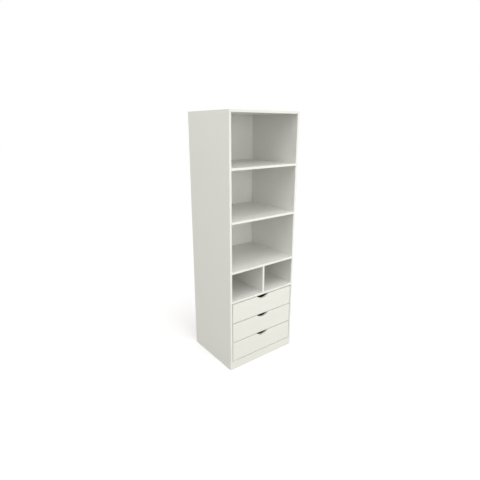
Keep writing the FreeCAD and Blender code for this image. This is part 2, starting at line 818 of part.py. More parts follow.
def drawer_fittings(drawer):
    """The cam locks and bolts that hold the drawer's front to its sides."""
    levels = [f"{drawer}_side_z + {level}" for level in ("fixing_low", "fixing_high")]
    cams = [("-box_width / 2", "side_front + mini_cam_reach", level) for level in levels]
    bolts = [("(drawer_board - box_width) / 2", "side_front", level) for level in levels]
    links = copies(mini_cam, cams, X_TO_Y_Z_TO_X) + copies(mini_bolt, bolts, X_TO_Y)
    return paired(f"{drawer}_drawer_front_fittings", links)


def drawer_screws(drawer):
    """The screws of the drawer's back, and those that hold its rails from below."""
    back = []
    for level in ("fixing_low", "fixing_high"):
        back.append(("-box_width / 2", "side_front + drawer_length - drawer_board / 2",
                     f"{drawer}_side_z + {level}"))
    rail = []
    for share in RAIL_SCREW_SHARES:
        rail.append(("foot_screw_set - box_width / 2", f"side_front + {share} * rail_length",
                     f"{drawer}_side_z - metal"))
    links = copies(long_screw, back, HALF_TURN_Z) + copies(long_screw, rail, X_TO_DOWN)
    return paired(f"{drawer}_drawer_screws", links)


drawer_fronts = []
drawer_sides = []
roller_bodies = []
for drawer in DRAWERS:
    drawer_fronts.append(drawer_front(drawer))
    left = drawer_left_side(drawer)
    drawer_sides.append(left)
    mirror(f"{drawer}_drawer_right_side", left)
    drawer_back(drawer)
    drawer_bottom(drawer)
    mirror(f"{drawer}_drawer_right_rail", left_drawer_rail(drawer))
    mirror(f"{drawer}_right_cabinet_rail", left_cabinet_rail(drawer))
    roller_bodies.append(rollers(f"{drawer}_cabinet_rollers", (
        "metal + roller_side - inner_half",
        "side_front + rail_setback + roller_inset",
        f"{drawer}_rail_z + high_roller_z",
    )))
    roller_bodies.append(rollers(f"{drawer}_drawer_rollers", (
        "-box_width / 2 - metal - roller_side - roller_width",
        "side_front + rail_length - roller_inset",
        f"{drawer}_rail_z + low_roller_z",
    )))
    drawer_fittings(drawer)
    drawer_screws(drawer)


def rail_screw_places():
    places = []
    for drawer in DRAWERS:
        for share in RAIL_SCREW_SHARES:
            places.append(("metal - inner_half", f"side_front + rail_setback + {share} * rail_length",
                           f"{drawer}_rail_z + rail_height / 2"))
    return places


bracket_screws = []
for across in BRACKET_SCREW_X:
    bracket_screws.append((across, "front + case_depth + back_board - bracket_screw_set",
                           "height + bracket_metal"))
paired("short_screws", copies(short_screw, rail_screw_places(), AS_MADE),
       copies(short_screw, bracket_screws, X_TO_UP))
doc.recompute()

# Rounded edges, found on the finished boards.

TOUCH = 1e-6


def round_edges(body, radius, wanted):
    """Round the edges of the body's last feature that the test picks."""
    base = body.Tip
    names = []
    for number, edge in enumerate(base.Shape.Edges, start=1):
        if wanted(edge.BoundBox, base.Shape.BoundBox):
            names.append(f"Edge{number}")
    feature = body.newObject("PartDesign::Fillet", "Fillet")
    feature.Base = (base, names)
    bind(feature, "Radius", radius)


def on_front(edge, whole):
    return edge.YMax < whole.YMin + TOUCH


def pull_corner(edge, whole):
    """The two edges where the finger pull leaves the front's top edge."""
    inside = whole.XMin + TOUCH < edge.XMin and edge.XMax < whole.XMax - TOUCH
    return inside and edge.ZMin > whole.ZMax - TOUCH and edge.YLength > whole.YLength - TOUCH


def long_front(edge, whole):
    """The upper and lower arris of a shelf's front edge."""
    return on_front(edge, whole) and edge.XLength > whole.XLength - TOUCH


def upper_front(edge, whole):
    return long_front(edge, whole) and edge.ZMin > whole.ZMax - TOUCH


def tall_front(edge, whole):
    """The two upright arrises of a board's front edge."""
    return on_front(edge, whole) and edge.ZLength > whole.ZLength - TOUCH


def side_outline(edge, whole):
    """The side panel's front arrises, and its outer arris along the top."""
    front_arris = on_front(edge, whole) and edge.ZMax > whole.ZMin + TOUCH
    top_arris = edge.XMax < whole.XMin + TOUCH and edge.ZMin > whole.ZMax - TOUCH
    return front_arris or top_arris


def whole_top(edge, whole):
    """The long upper arrises of a drawer side."""
    return edge.ZMin > whole.ZMax - TOUCH and edge.YLength > whole.YLength - TOUCH


def outer_rim(edge, whole):
    """The two rims of a roller's tread."""
    return edge.ZLength > whole.ZLength - TOUCH and edge.XLength < TOUCH


for body in drawer_fronts:
    round_edges(body, "pull_round", pull_corner)
doc.recompute()
for body in drawer_fronts:
    round_edges(body, "edge_round", on_front)
for body in drawer_sides:
    round_edges(body, "edge_round", whole_top)
for body in roller_bodies:
    round_edges(body, "roller_round", outer_rim)
for shelf_label, body in shelves.items():
    if shelf_label != "bottom_panel":
        round_edges(body, "edge_round", long_front)
round_edges(left_side, "edge_round", side_outline)
round_edges(divider, "edge_round", tall_front)
round_edges(plinths["plinth_front"], "edge_round", upper_front)
doc.recompute()

# Every feature has worked, every cut has taken wood or metal away, and every piece is sound.

for item in doc.Objects:
    if "Invalid" in item.State or "Error" in item.State:
        raise RuntimeError(f"{item.Label} failed: {item.State}")
for feature in CUTS:
    if feature.Shape.Volume > feature.BaseFeature.Shape.Volume - TOUCH:
        raise RuntimeError(f"{feature.getParent().Label}: {feature.Label} cuts nothing")
for node in NODES:
    if node.Shape.isNull() or not node.Shape.isValid() or not node.Shape.Solids:
        raise RuntimeError(f"{node.Label} has no sound shape")

os.makedirs("parts", exist_ok=True)
for node in NODES:
    node.Shape.exportStep(f"parts/{node.Label}.step")
print(f"{len(NODES)} nodes written")
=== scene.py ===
import math

import bpy
from mathutils import Matrix, Vector


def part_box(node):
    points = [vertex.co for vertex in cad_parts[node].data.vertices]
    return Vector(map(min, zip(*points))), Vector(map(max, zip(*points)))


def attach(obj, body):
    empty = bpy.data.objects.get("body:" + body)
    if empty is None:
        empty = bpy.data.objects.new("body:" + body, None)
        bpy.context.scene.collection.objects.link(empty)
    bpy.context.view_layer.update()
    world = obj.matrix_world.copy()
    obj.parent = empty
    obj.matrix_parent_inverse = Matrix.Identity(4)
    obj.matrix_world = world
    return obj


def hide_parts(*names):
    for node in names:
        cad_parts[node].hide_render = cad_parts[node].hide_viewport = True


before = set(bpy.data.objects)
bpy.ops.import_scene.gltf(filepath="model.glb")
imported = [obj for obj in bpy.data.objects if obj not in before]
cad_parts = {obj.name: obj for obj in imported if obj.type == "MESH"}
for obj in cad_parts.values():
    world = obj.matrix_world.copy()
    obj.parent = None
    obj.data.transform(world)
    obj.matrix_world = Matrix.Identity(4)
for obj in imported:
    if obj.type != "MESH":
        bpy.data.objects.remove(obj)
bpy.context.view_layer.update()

# Side panels: two boards of 16 mm particle board pressed between sheets of warm white melamine. They stand
# on the floor and carry everything else. The front edge is banded, the rear and lower edges are left sawn,
# and the outer face is painted a warmer white than the inner ones: painted light, the warm tone of the lit
# outside against the cooler shade inside.

MELAMINE_DEEP = (0.772, 0.772, 0.733, 1)
MELAMINE_LIGHT = (0.808, 0.808, 0.768, 1)
# Painted light: the outward faces get this warmer white, standing in for the warm light on the lit outside
# against the cooler shade inside.
WARM_LIT_DEEP = (0.772, 0.772, 0.703, 1)
WARM_LIT_LIGHT = (0.808, 0.808, 0.736, 1)
BAND_WHITE = (0.815, 0.815, 0.745, 1)
CHIP_STOPS = ((0.36, (0.20, 0.12, 0.06, 1)), (0.50, (0.46, 0.32, 0.18, 1)), (0.66, (0.66, 0.52, 0.33, 1)))
MELAMINE_ROUGH = 0.40
BAND_ROUGH = 0.34
CHIP_ROUGH = 0.92
PEARL_ROUGH_SPAN = 0.12
NOISE_MIDDLE = 0.5
TONE_SCALE = 1.9
PEARL_SCALE = 1150
CHIP_NOISE = (430, 4.0, 0.7)
PEARL_HEIGHT = 0.000008
CHIP_HEIGHT = 0.0005
SQUARE_ON = 0.5


class Field:
    """One outlet of a node, with plain arithmetic that adds Math nodes to the same tree."""

    def __init__(self, tree, outlet=None):
        self.tree = tree
        self.outlet = outlet

    def node(self, kind, settings=None, inlets=None, outlet=0):
        """Any node: its settings first, then the values or links of its inlets."""
        made = self.tree.nodes.new(kind)
        for name, value in (settings or {}).items():
            if name == "stops":
                ramp = made.color_ramp.elements
                while len(ramp) < len(value):
                    ramp.new(1)
                for stop, (position, colour) in zip(ramp, value):
                    stop.position = position
                    stop.color = colour
            elif name == "choices":
                while len(made.index_switch_items) < value:
                    made.index_switch_items.new()
            else:
                setattr(made, name, value)
        for name, value in (inlets or {}).items():
            for each in value if isinstance(value, list) else [value]:
                if isinstance(each, Field):
                    self.tree.links.new(each.outlet, made.inputs[name])
                else:
                    made.inputs[name].default_value = each
        return Field(self.tree, made.outputs[outlet])

    def math(self, operation, first, second):
        return self.node("ShaderNodeMath", {"operation": operation}, {0: first, 1: second})

    def __add__(self, other):
        return self.math("ADD", self, other)

    def __sub__(self, other):
        return self.math("SUBTRACT", self, other)

    def __rsub__(self, other):
        return self.math("SUBTRACT", other, self)

    def __mul__(self, other):
        return self.math("MULTIPLY", self, other)

    def __truediv__(self, other):
        return self.math("DIVIDE", self, other)

    def __gt__(self, other):
        return self.math("GREATER_THAN", self, other)

    def __lt__(self, other):
        return self.math("LESS_THAN", self, other)

    def __neg__(self):
        return self * -1

    __radd__ = __add__
    __rmul__ = __mul__

    def mix(self, low, high):
        """A colour between two others, by this share. The numbers are the Mix node's colour sockets."""
        return self.node("ShaderNodeMix", {"data_type": "RGBA"}, {0: self, 6: low, 7: high}, 2)

    def ramp(self, stops):
        """A colour from stops, by this share."""
        return self.node("ShaderNodeValToRGB", {"stops": stops}, {0: self})

    def feed(self, socket):
        self.tree.links.new(self.outlet, socket)


def start_finish(name):
    """A new material, its shader, and the places on the piece."""
    material = bpy.data.materials.new(name)
    material.use_nodes = True
    tree = material.node_tree
    place = Field(tree).node("ShaderNodeTexCoord", outlet="Object")
    return material, tree.nodes["Principled BSDF"], place


def noise(place, scale, detail=2.0, roughness=0.5):
    return place.node("ShaderNodeTexNoise", inlets={
        "Vector": place, "Scale": scale, "Detail": detail, "Roughness": roughness})


def relief(height, shader, depth=1.0):
    """Raises the surface by a height in metres, or by a share of a depth in metres."""
    bump = height.node("ShaderNodeBump", inlets={"Height": height, "Strength": 1.0, "Distance": depth})
    bump.feed(shader.inputs["Normal"])


def facing(place):
    """The three parts of the way that the surface faces, in the piece's own axes."""
    way = place.node("ShaderNodeTexCoord", outlet="Normal")
    return [way.node("ShaderNodeSeparateXYZ", inlets={0: way}, outlet=axis) for axis in "XYZ"]


def melamine(name, banded, sawn, outer):
    """Faced board. Each test takes the three parts of the facing and gives 1 on its edges or faces. The
    faces that the outer test picks are painted a warmer white, painted light for the lit outside.
    """
    material, shader, place = start_finish(name)
    ways = facing(place)
    band = banded(*ways)
    raw = sawn(*ways)
    pearl = noise(place, PEARL_SCALE)
    chip = noise(place, *CHIP_NOISE)
    tone = noise(place, TONE_SCALE)
    cool_white = tone.mix(MELAMINE_DEEP, MELAMINE_LIGHT)
    # Painted light: faces picked by the outer test get the warmer white, the others the cooler white of the
    # shaded inside.
    white = outer(*ways).mix(cool_white, tone.mix(WARM_LIT_DEEP, WARM_LIT_LIGHT))
    raw.mix(band.mix(white, BAND_WHITE), chip.ramp(CHIP_STOPS)).feed(shader.inputs["Base Color"])
    rough = MELAMINE_ROUGH + band * (BAND_ROUGH - MELAMINE_ROUGH) + raw * (CHIP_ROUGH - MELAMINE_ROUGH)
    (rough + (pearl - NOISE_MIDDLE) * PEARL_ROUGH_SPAN).feed(shader.inputs["Roughness"])
    relief(pearl * PEARL_HEIGHT + raw * chip * CHIP_HEIGHT, shader)
    return material


def dress(nodes, material):
    """Gives CAD nodes their finish."""
    for name in nodes:
        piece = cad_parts[name]
        piece.data.materials.clear()
        piece.data.materials.append(material)


def to_front(x, y, z):
    return y < -SQUARE_ON


def to_left(x, y, z):
    return x < -SQUARE_ON


def to_right(x, y, z):
    return x > SQUARE_ON


def rear_or_under(x, y, z):
    return (y > SQUARE_ON) + (z < -SQUARE_ON)


# The outer face of each side gets the warmer painted-light white.
for hand, warm_lit_face in (("left", to_left), ("right", to_right)):
    dress([f"{hand}_side_panel"],
          melamine(f"{hand}_side_melamine", to_front, rear_or_under, warm_lit_face))

# Top, shelves, cubby floor and bottom: six boards of the same faced particle board between the sides, held
# by cam locks and dowels. Their front edges are banded; the rear edge and the ends are sawn and hidden.

SHELVES = ("bottom_panel", "cubby_floor", "lower_shelf", "middle_shelf", "upper_shelf", "top_panel")
PAST_ANY = 2.0


def rear_or_end(x, y, z):
    return (y > SQUARE_ON) + (x * x > SQUARE_ON)


def nowhere(x, y, z):
    """No part of a facing is ever so large."""
    return y > PAST_ANY


dress(SHELVES, melamine("shelf_melamine", to_front, rear_or_end, nowhere))

# Cubby divider and plinth boards: short pieces cut from the same board, set on dowels. The divider shows its
# banded front edge, the front plinth its face and its banded upper edge.


def rear_or_cut(x, y, z):
    return (y > SQUARE_ON) + (z * z > SQUARE_ON)


def upward(x, y, z):
    return z > SQUARE_ON


def under_or_end(x, y, z):
    return (z < -SQUARE_ON) + (x * x > SQUARE_ON)


dress(("cubby_divider",), melamine("divider_melamine", to_front, rear_or_cut, nowhere))
# The front plinth's face gets the warmer painted-light white.
dress(("plinth_front", "plinth_rear"),
      melamine("plinth_melamine", upward, under_or_end, to_front))

# Back panel: one sheet of 3 mm hardboard nailed over the rear of the case. Its face is lacquered to match
# the boards; behind, the pressed brown fibre is bare.

LACQUER_DEEP = (0.780, 0.780, 0.743, 1)
LACQUER_LIGHT = (0.810, 0.810, 0.772, 1)
FIBRE_STOPS = ((0.30, (0.135, 0.075, 0.038, 1)), (0.52, (0.215, 0.125, 0.065, 1)),
               (0.74, (0.30, 0.185, 0.10, 1)))
LACQUER_ROUGH = 0.46
FIBRE_ROUGH = 0.72
FIBRE_ROUGH_SPAN = 0.1
FIBRE_NOISE = (260, 5.0, 0.72)
FIBRE_SHARE = 0.75
CLOUD_SCALE = 5.7
FIBRE_HEIGHT = 0.0001
LACQUER_FILL = 0.8


def hardboard(name, lacquered):
    """Thin fibreboard, white where the test on the facing gives 1 and bare elsewhere."""
    material, shader, place = start_finish(name)
    white = lacquered(*facing(place))
    fibre = noise(place, *FIBRE_NOISE)
    cloud = noise(place, CLOUD_SCALE)
    paint = cloud.mix(LACQUER_DEEP, LACQUER_LIGHT)
    bare = (fibre * FIBRE_SHARE + cloud * (1 - FIBRE_SHARE)).ramp(FIBRE_STOPS)
    white.mix(bare, paint).feed(shader.inputs["Base Color"])
    rough = FIBRE_ROUGH + white * (LACQUER_ROUGH - FIBRE_ROUGH)
    (rough + (fibre - NOISE_MIDDLE) * FIBRE_ROUGH_SPAN).feed(shader.inputs["Roughness"])
    relief(fibre * (1 - white * LACQUER_FILL) * FIBRE_HEIGHT, shader)
    return material


dress(("back_panel",), hardboard("back_hardboard", to_front))

# Cam locks: discs of dull cast zinc in the shelves' undersides, and in the upper face of the top. Each has a
# cross for the driver and a slot at the side that catches the head of a cam bolt.

ZINC_STOPS = ((0.30, (0.40, 0.405, 0.41, 1)), (0.70, (0.56, 0.565, 0.575, 1)))
ZINC_NOISE = (700, 3.0)
ZINC_ROUGH, ZINC_ROUGH_SPAN = 0.42, 0.2
ZINC_HEIGHT = 0.00005
CAM_SIZES = {"Diameter": 0.015, "Height": 0.0125, "Bolt level": 0.008, "Shank slot": 0.0064,
             "Head slot": 0.0074, "Head depth": 0.0054, "Cross length": 0.0075, "Cross width": 0.0011,
             "Cross depth": 0.002, "Chamfer": 0.0004}
CAM_SIDES = 40
SLOT_PAST_MIDDLE = 0.0002
SLOT_RUN = 0.1
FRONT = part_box("left_side_panel")[0].y
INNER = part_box("top_panel")[1].x
CAM_REACH = 0.024
CAM_DEPTHS = (0.060, 0.433)
STEP = 0.00001
SHARP_ANGLE = 0.6
UP, DOWN = (0, 0, 1), (0, 0, -1)
LEFT, RIGHT = (-1, 0, 0), (1, 0, 0)
BEHIND = (0, 1, 0)
SIDES = ((-1, RIGHT), (1, LEFT))


def cast_zinc():
    """Dull grey zinc with the faint mottle of a casting."""
    material, shader, place = start_finish("cast_zinc")
    mottle = noise(place, *ZINC_NOISE)
    mottle.ramp(ZINC_STOPS).feed(shader.inputs["Base Color"])
    (ZINC_ROUGH + mottle * ZINC_ROUGH_SPAN).feed(shader.inputs["Roughness"])
    shader.inputs["Metallic"].default_value = 1.0
    relief(mottle, shader, ZINC_HEIGHT)
    return material


def start_tree(name, sizes):
    """A tree that sets one kind of fitting on points. Each size is a named input, in metres."""
    tree = bpy.data.node_groups.new(name, "GeometryNodeTree")
    tree.interface.new_socket("Places", in_out="INPUT", socket_type="NodeSocketGeometry")
    for size in sizes:
        tree.interface.new_socket(size, in_out="INPUT", socket_type="NodeSocketFloat")
    tree.interface.new_socket("Finish", in_out="INPUT", socket_type="NodeSocketMaterial")
    tree.interface.new_socket("Fittings", in_out="OUTPUT", socket_type="NodeSocketGeometry")
    outlets = tree.nodes.new("NodeGroupInput").outputs
    return tree, {outlet.name: Field(tree, outlet) for outlet in outlets if outlet.name}


def lathe(tree, corners, sides, profile=None):
    """A turned piece about Z from (height, radius) corners, with closed ends. A shoulder rises by STEP."""
    start = Field(tree)
    index = start.node("GeometryNodeInputIndex")
    heights, radii = zip(*corners)

    def by_corner(values):
        inlets = {0: index}
        inlets.update(enumerate(values, start=1))
        return start.node("GeometryNodeIndexSwitch", {"data_type": "FLOAT", "choices": len(values)}, inlets)

    line = start.node("GeometryNodeCurvePrimitiveLine")
    path = start.node("GeometryNodeResampleCurve", inlets={"Curve": line, "Count": len(corners)})
    where = start.node("ShaderNodeCombineXYZ", inlets={"Z": by_corner(heights)})
    path = start.node("GeometryNodeSetPosition", inlets={"Geometry": path, "Position": where})
    if profile is None:
        profile = start.node("GeometryNodeCurvePrimitiveCircle", inlets={"Resolution": sides, "Radius": 1.0})
    return start.node("GeometryNodeCurveToMesh", inlets={
        "Curve": path, "Profile Curve": profile, "Scale": by_corner(radii), "Fill Caps": True})


def block(tree, low, high):
    """A box between two corners."""
    start = Field(tree)
    size = start.node("ShaderNodeCombineXYZ", inlets=dict(zip("XYZ", [b - a for a, b in zip(low, high)])))
    middle = start.node("ShaderNodeCombineXYZ",
                        inlets=dict(zip("XYZ", [(a + b) * 0.5 for a, b in zip(low, high)])))
    cube = start.node("GeometryNodeMeshCube", inlets={"Size": size})
    return start.node("GeometryNodeTransform", inlets={"Geometry": cube, "Translation": middle})


def cross_block(tree, length, width, top, depth):
    """The two arms of a driver's cross, cut down from the top."""
    arms = []
    for along, across in ((length, width), (width, length)):
        low = (along * -0.5, across * -0.5, top - depth)
        high = (along * 0.5, across * 0.5, top + depth)
        arms.append(block(tree, low, high))
    return arms


def carve(solid, *tools):
    return solid.node("GeometryNodeMeshBoolean", {"operation": "DIFFERENCE", "solver": "EXACT"},
                      {"Mesh 1": solid, "Mesh 2": list(tools)})


def end_tree(tree, sizes, fitting):
    """Sets the fitting on every point, turned as the point says, as one mesh with its finish."""
    turn = fitting.node("GeometryNodeInputNamedAttribute", {"data_type": "FLOAT_VECTOR"}, {"Name": "turn"})
    turned = turn.node("FunctionNodeEulerToRotation", inlets={0: turn})
    angle = fitting.node("GeometryNodeInputMeshEdgeAngle")
    fitting = fitting.node("GeometryNodeSetShadeSmooth", {"domain": "EDGE"}, {
        "Geometry": fitting, "Selection": angle > SHARP_ANGLE, "Shade Smooth": False})
    laid = fitting.node("GeometryNodeInstanceOnPoints", inlets={
        "Points": sizes["Places"], "Instance": fitting, "Rotation": turned})
    whole = laid.node("GeometryNodeRealizeInstances", inlets={"Geometry": laid})
    finished = whole.node("GeometryNodeSetMaterial", inlets={
        "Geometry": whole, "Material": sizes["Finish"]})
    finished.feed(tree.nodes.new("NodeGroupOutput").inputs["Fittings"])
    return tree


def cam_tree():
    """A cam lock from its visible face at Z = 0 down, with its slot open towards -X."""
    tree, size = start_tree("cam_lock", CAM_SIZES)
    radius = size["Diameter"] * 0.5
    edge = radius - size["Chamfer"]
    disc = lathe(tree, [(-size["Height"], edge), (size["Chamfer"] - size["Height"], radius),
                        (-size["Chamfer"], radius), (-STEP, edge)], CAM_SIDES)
    level = -size["Bolt level"]
    slots = []
    for far, width in ((-SLOT_RUN, size["Shank slot"]),
                       (SLOT_PAST_MIDDLE - size["Head depth"], size["Head slot"])):
        half = width * 0.5
        slots.append(block(tree, (far, -half, level - half), (SLOT_PAST_MIDDLE, half, level + half)))
    arms = cross_block(tree, size["Cross length"], size["Cross width"], 0.0, size["Cross depth"])
    return end_tree(tree, size, carve(disc, *slots, *arms))


def turn_to(face, along):
    """The turn that takes Z to the face and X along."""
    z, x = Vector(face), Vector(along)
    return Matrix((x, z.cross(x), z)).transposed().to_euler()


def set_out(name, tree, sizes, places, finish, body, nodes):
    """Runs a tree on places, each a point and a turn, and keeps the result as one plain mesh on a body."""
    points = bpy.data.meshes.new(name + "_places")
    points.from_pydata([point for point, turn in places], [], [])
    turns = points.attributes.new("turn", "FLOAT_VECTOR", "POINT")
    for number, (point, turn) in enumerate(places):
        turns.data[number].vector = turn
    holder = bpy.data.objects.new(name + "_places", points)
    bpy.context.scene.collection.objects.link(holder)
    modifier = holder.modifiers.new("fittings", "NODES")
    modifier.node_group = tree
    for item in tree.interface.items_tree:
        if item.in_out == "INPUT" and item.name in sizes:
            modifier[item.identifier] = sizes[item.name]
        elif item.in_out == "INPUT" and item.name == "Finish":
            modifier[item.identifier] = finish
    built = holder.evaluated_get(bpy.context.evaluated_depsgraph_get())
    mesh = bpy.data.meshes.new_from_object(built)
    mesh.name = name
    holder.modifiers.clear()
    bpy.data.objects.remove(holder)
    piece = bpy.data.objects.new(name, mesh)
    bpy.context.scene.collection.objects.link(piece)
    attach(piece, body)
    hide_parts(*nodes)


cam_places = []
for board in SHELVES:
    low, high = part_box(board)
    face, level = (UP, high.z) if board == "top_panel" else (DOWN, low.z)
    for side, inward in SIDES:
        for depth in CAM_DEPTHS:
            cam_places.append(((side * (INNER - CAM_REACH), FRONT + depth, level), turn_to(face, inward)))
zinc = cast_zinc()
cam_shape = cam_tree()
set_out("case_cam_locks", cam_shape, CAM_SIZES, cam_places, zinc, "case", ["cam_locks"])

# Cam bolts: steel pins with a bright zinc plate. A coarse thread bites in the side panel; the ball at the
# other end is drawn in by its cam.

STEEL_STOPS = ((0.30, (0.52, 0.53, 0.55, 1)), (0.70, (0.68, 0.69, 0.71, 1)))
PLATE_NOISE = (240, 3.0)
PLATE_ROUGH, PLATE_ROUGH_SPAN = 0.24, 0.16
BOLT_SIZES = {"Reach": 0.024, "Shank diameter": 0.006, "Neck diameter": 0.0044, "Neck length": 0.003,
              "Head diameter": 0.007, "Head length": 0.005, "Thread diameter": 0.005,
              "Core diameter": 0.0036, "Thread length": 0.011, "Pitch": 0.0022}
BOLT_SIDES = 20
BOLT_TIP_SHARE = 0.4
BALL_SHARES = ((0.18, 0.86), (0.45, 1.0), (0.75, 0.88))
BALL_END_SHARE = 0.45
RUN_IN_PITCHES = 0.8
RUN_OUT_PITCHES = 1.2
THREAD_STEPS = 12
THREAD_TURN = 0.11
RIDGE_SIDES = 4
RIDGE_SHARE = 0.74
RIDGE_MIDDLE_SHARE = 0.25


def zinc_plate():
    """Bright zinc on steel, with the slight clouding of the plating bath."""
    material, shader, place = start_finish("zinc_plate")
    cloud = noise(place, *PLATE_NOISE)
    cloud.ramp(STEEL_STOPS).feed(shader.inputs["Base Color"])
    (PLATE_ROUGH + cloud * PLATE_ROUGH_SPAN).feed(shader.inputs["Roughness"])
    shader.inputs["Metallic"].default_value = 1.0
    return material


def thread(tree, outer, core, low, length, pitch):
    """A ridge wound about Z, from the low end up."""
    start = Field(tree)
    depth = (outer - core) * 0.5
    middle = core * 0.5 + depth * RIDGE_MIDDLE_SHARE
    spiral = start.node("GeometryNodeCurveSpiral", inlets={
        "Resolution": THREAD_STEPS, "Rotations": length / pitch, "Start Radius": middle,
        "End Radius": middle, "Height": length})
    ridge = start.node("GeometryNodeCurvePrimitiveCircle", inlets={
        "Resolution": RIDGE_SIDES, "Radius": depth * RIDGE_SHARE})
    wound = start.node("GeometryNodeCurveToMesh", inlets={
        "Curve": spiral, "Profile Curve": ridge, "Fill Caps": True})
    lift = start.node("ShaderNodeCombineXYZ", inlets={"Z": low})
    return start.node("GeometryNodeTransform", inlets={
        "Geometry": wound, "Translation": lift, "Rotation": (0, 0, THREAD_TURN)})


def weld(*solids):
    return solids[0].node("GeometryNodeMeshBoolean", {"operation": "UNION", "solver": "EXACT"},
                          {"Mesh 2": list(solids)})


def bolt_tree():
    """A cam bolt along Z, its thread below Z = 0 and its head above."""
    tree, size = start_tree("cam_bolt", BOLT_SIZES)
    core, shank = size["Core diameter"] * 0.5, size["Shank diameter"] * 0.5
    neck, head = size["Neck diameter"] * 0.5, size["Head diameter"] * 0.5
    reach, ball = size["Reach"], size["Head length"]
    run, pitch = size["Thread length"], size["Pitch"]
    under = reach - ball
    pin = lathe(tree, [
        (-run, core * BOLT_TIP_SHARE), (core - run, core), (-2 * STEP, core), (-STEP, shank),
        (under - size["Neck length"] - STEP, shank), (under - size["Neck length"], neck), (under, neck),
        *[(under + ball * rise, head * width) for rise, width in BALL_SHARES],
        (reach, head * BALL_END_SHARE)], BOLT_SIDES)
    ridge = thread(tree, size["Thread diameter"], size["Core diameter"], pitch * RUN_IN_PITCHES - run,
                   run - pitch * RUN_OUT_PITCHES, pitch)
    return end_tree(tree, size, weld(pin, ridge))


bolt_places = []
for board in SHELVES:
    low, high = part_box(board)
    for side, inward in SIDES:
        for depth in CAM_DEPTHS:
            bolt_places.append(((side * INNER, FRONT + depth, (low.z + high.z) / 2), turn_to(inward, UP)))
plate = zinc_plate()
bolt_shape = bolt_tree()
set_out("case_cam_bolts", bolt_shape, BOLT_SIZES, bolt_places, plate, "case", ["cam_bolts"])

# Dowels: turned beech pegs with pressed flutes that let the glue spread. They line up the shelves, the
# divider and the plinth boards, and are glued on one side.

BEECH_STOPS = ((0.30, (0.44, 0.285, 0.15, 1)), (0.70, (0.64, 0.455, 0.265, 1)))
BEECH_NOISE = (900, 3.0, 0.6)
BEECH_ROUGH, BEECH_ROUGH_SPAN = 0.58, 0.2
BEECH_HEIGHT = 0.00005
DOWEL_SIZES = {"Diameter": 0.008, "Flute": 0.0004, "In face": 0.010, "In end": 0.020, "Chamfer": 0.0008}
DOWEL_FLUTES = 16
DOWEL_DEPTHS = (0.092, 0.401)
PLINTH_SHARES = (0.3, 0.7)


def bare_beech():
    """Beech with fine dark flecks along the grain."""
    material, shader, place = start_finish("bare_beech")
    grain = noise(place, *BEECH_NOISE)
    grain.ramp(BEECH_STOPS).feed(shader.inputs["Base Color"])
    (BEECH_ROUGH + grain * BEECH_ROUGH_SPAN).feed(shader.inputs["Roughness"])
    relief(grain, shader, BEECH_HEIGHT)
    return material


def dowel_tree():
    """A fluted peg along Z, its shorter part below Z = 0."""
    tree, size = start_tree("dowel", DOWEL_SIZES)
    radius = size["Diameter"] * 0.5
    fluted = Field(tree).node("GeometryNodeCurveStar", inlets={
        "Points": DOWEL_FLUTES, "Inner Radius": 1 - size["Flute"] / radius, "Outer Radius": 1.0})
    low, high, chamfer = -size["In face"], size["In end"], size["Chamfer"]
    peg = lathe(tree, [(low, radius - chamfer), (low + chamfer, radius), (high - chamfer, radius),
                       (high, radius - chamfer)], DOWEL_FLUTES, fluted)
    return end_tree(tree, size, peg)


dowel_places = []
for board in SHELVES:
    low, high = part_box(board)
    for side, inward in SIDES:
        for depth in DOWEL_DEPTHS:
            dowel_places.append(((side * INNER, FRONT + depth, (low.z + high.z) / 2), turn_to(inward, UP)))
for board in ("plinth_front", "plinth_rear"):
    low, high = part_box(board)
    for side, inward in SIDES:
        for share in PLINTH_SHARES:
            dowel_places.append(((side * INNER, (low.y + high.y) / 2, share * high.z), turn_to(inward, UP)))
low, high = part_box("cubby_divider")
for depth in CAM_DEPTHS:
    for level, way in ((low.z, UP), (high.z, DOWN)):
        dowel_places.append(((0, FRONT + depth, level), turn_to(way, RIGHT)))
set_out("case_dowels", dowel_tree(), DOWEL_SIZES, dowel_places, bare_beech(), "case", ["dowels"])

# Back nails: thin wire nails with flat heads, driven flush with the hardboard into the sides and into the
# rear edge of every shelf.

NAIL_SIZES = {"Head diameter": 0.005, "Head height": 0.0008, "Shank diameter": 0.0016, "Length": 0.020,
              "Point": 0.002}
NAIL_SIDES = 14
NAIL_TIP_SHARE = 0.12
NAIL_HEAD_SHARES = ((0.0, 0.92), (0.3, 1.0), (0.75, 1.0), (1.0, 0.8))
NAILS_PER_SIDE = 9
NAIL_MARGIN = 0.040
NAIL_SET_IN = 0.008
NAIL_X_SHARE = 0.25


def nail_tree():
    """A nail along Z, its head's underside at Z = 0."""
    tree, size = start_tree("wire_nail", NAIL_SIZES)
    head, shank, top = size["Head diameter"] * 0.5, size["Shank diameter"] * 0.5, size["Head height"]
    tip = -size["Length"]
    nail = lathe(tree, [
        (tip, shank * NAIL_TIP_SHARE), (tip + size["Point"], shank), (-STEP, shank),
        *[(top * rise, head * width) for rise, width in NAIL_HEAD_SHARES]], NAIL_SIDES)
    return end_tree(tree, size, nail)


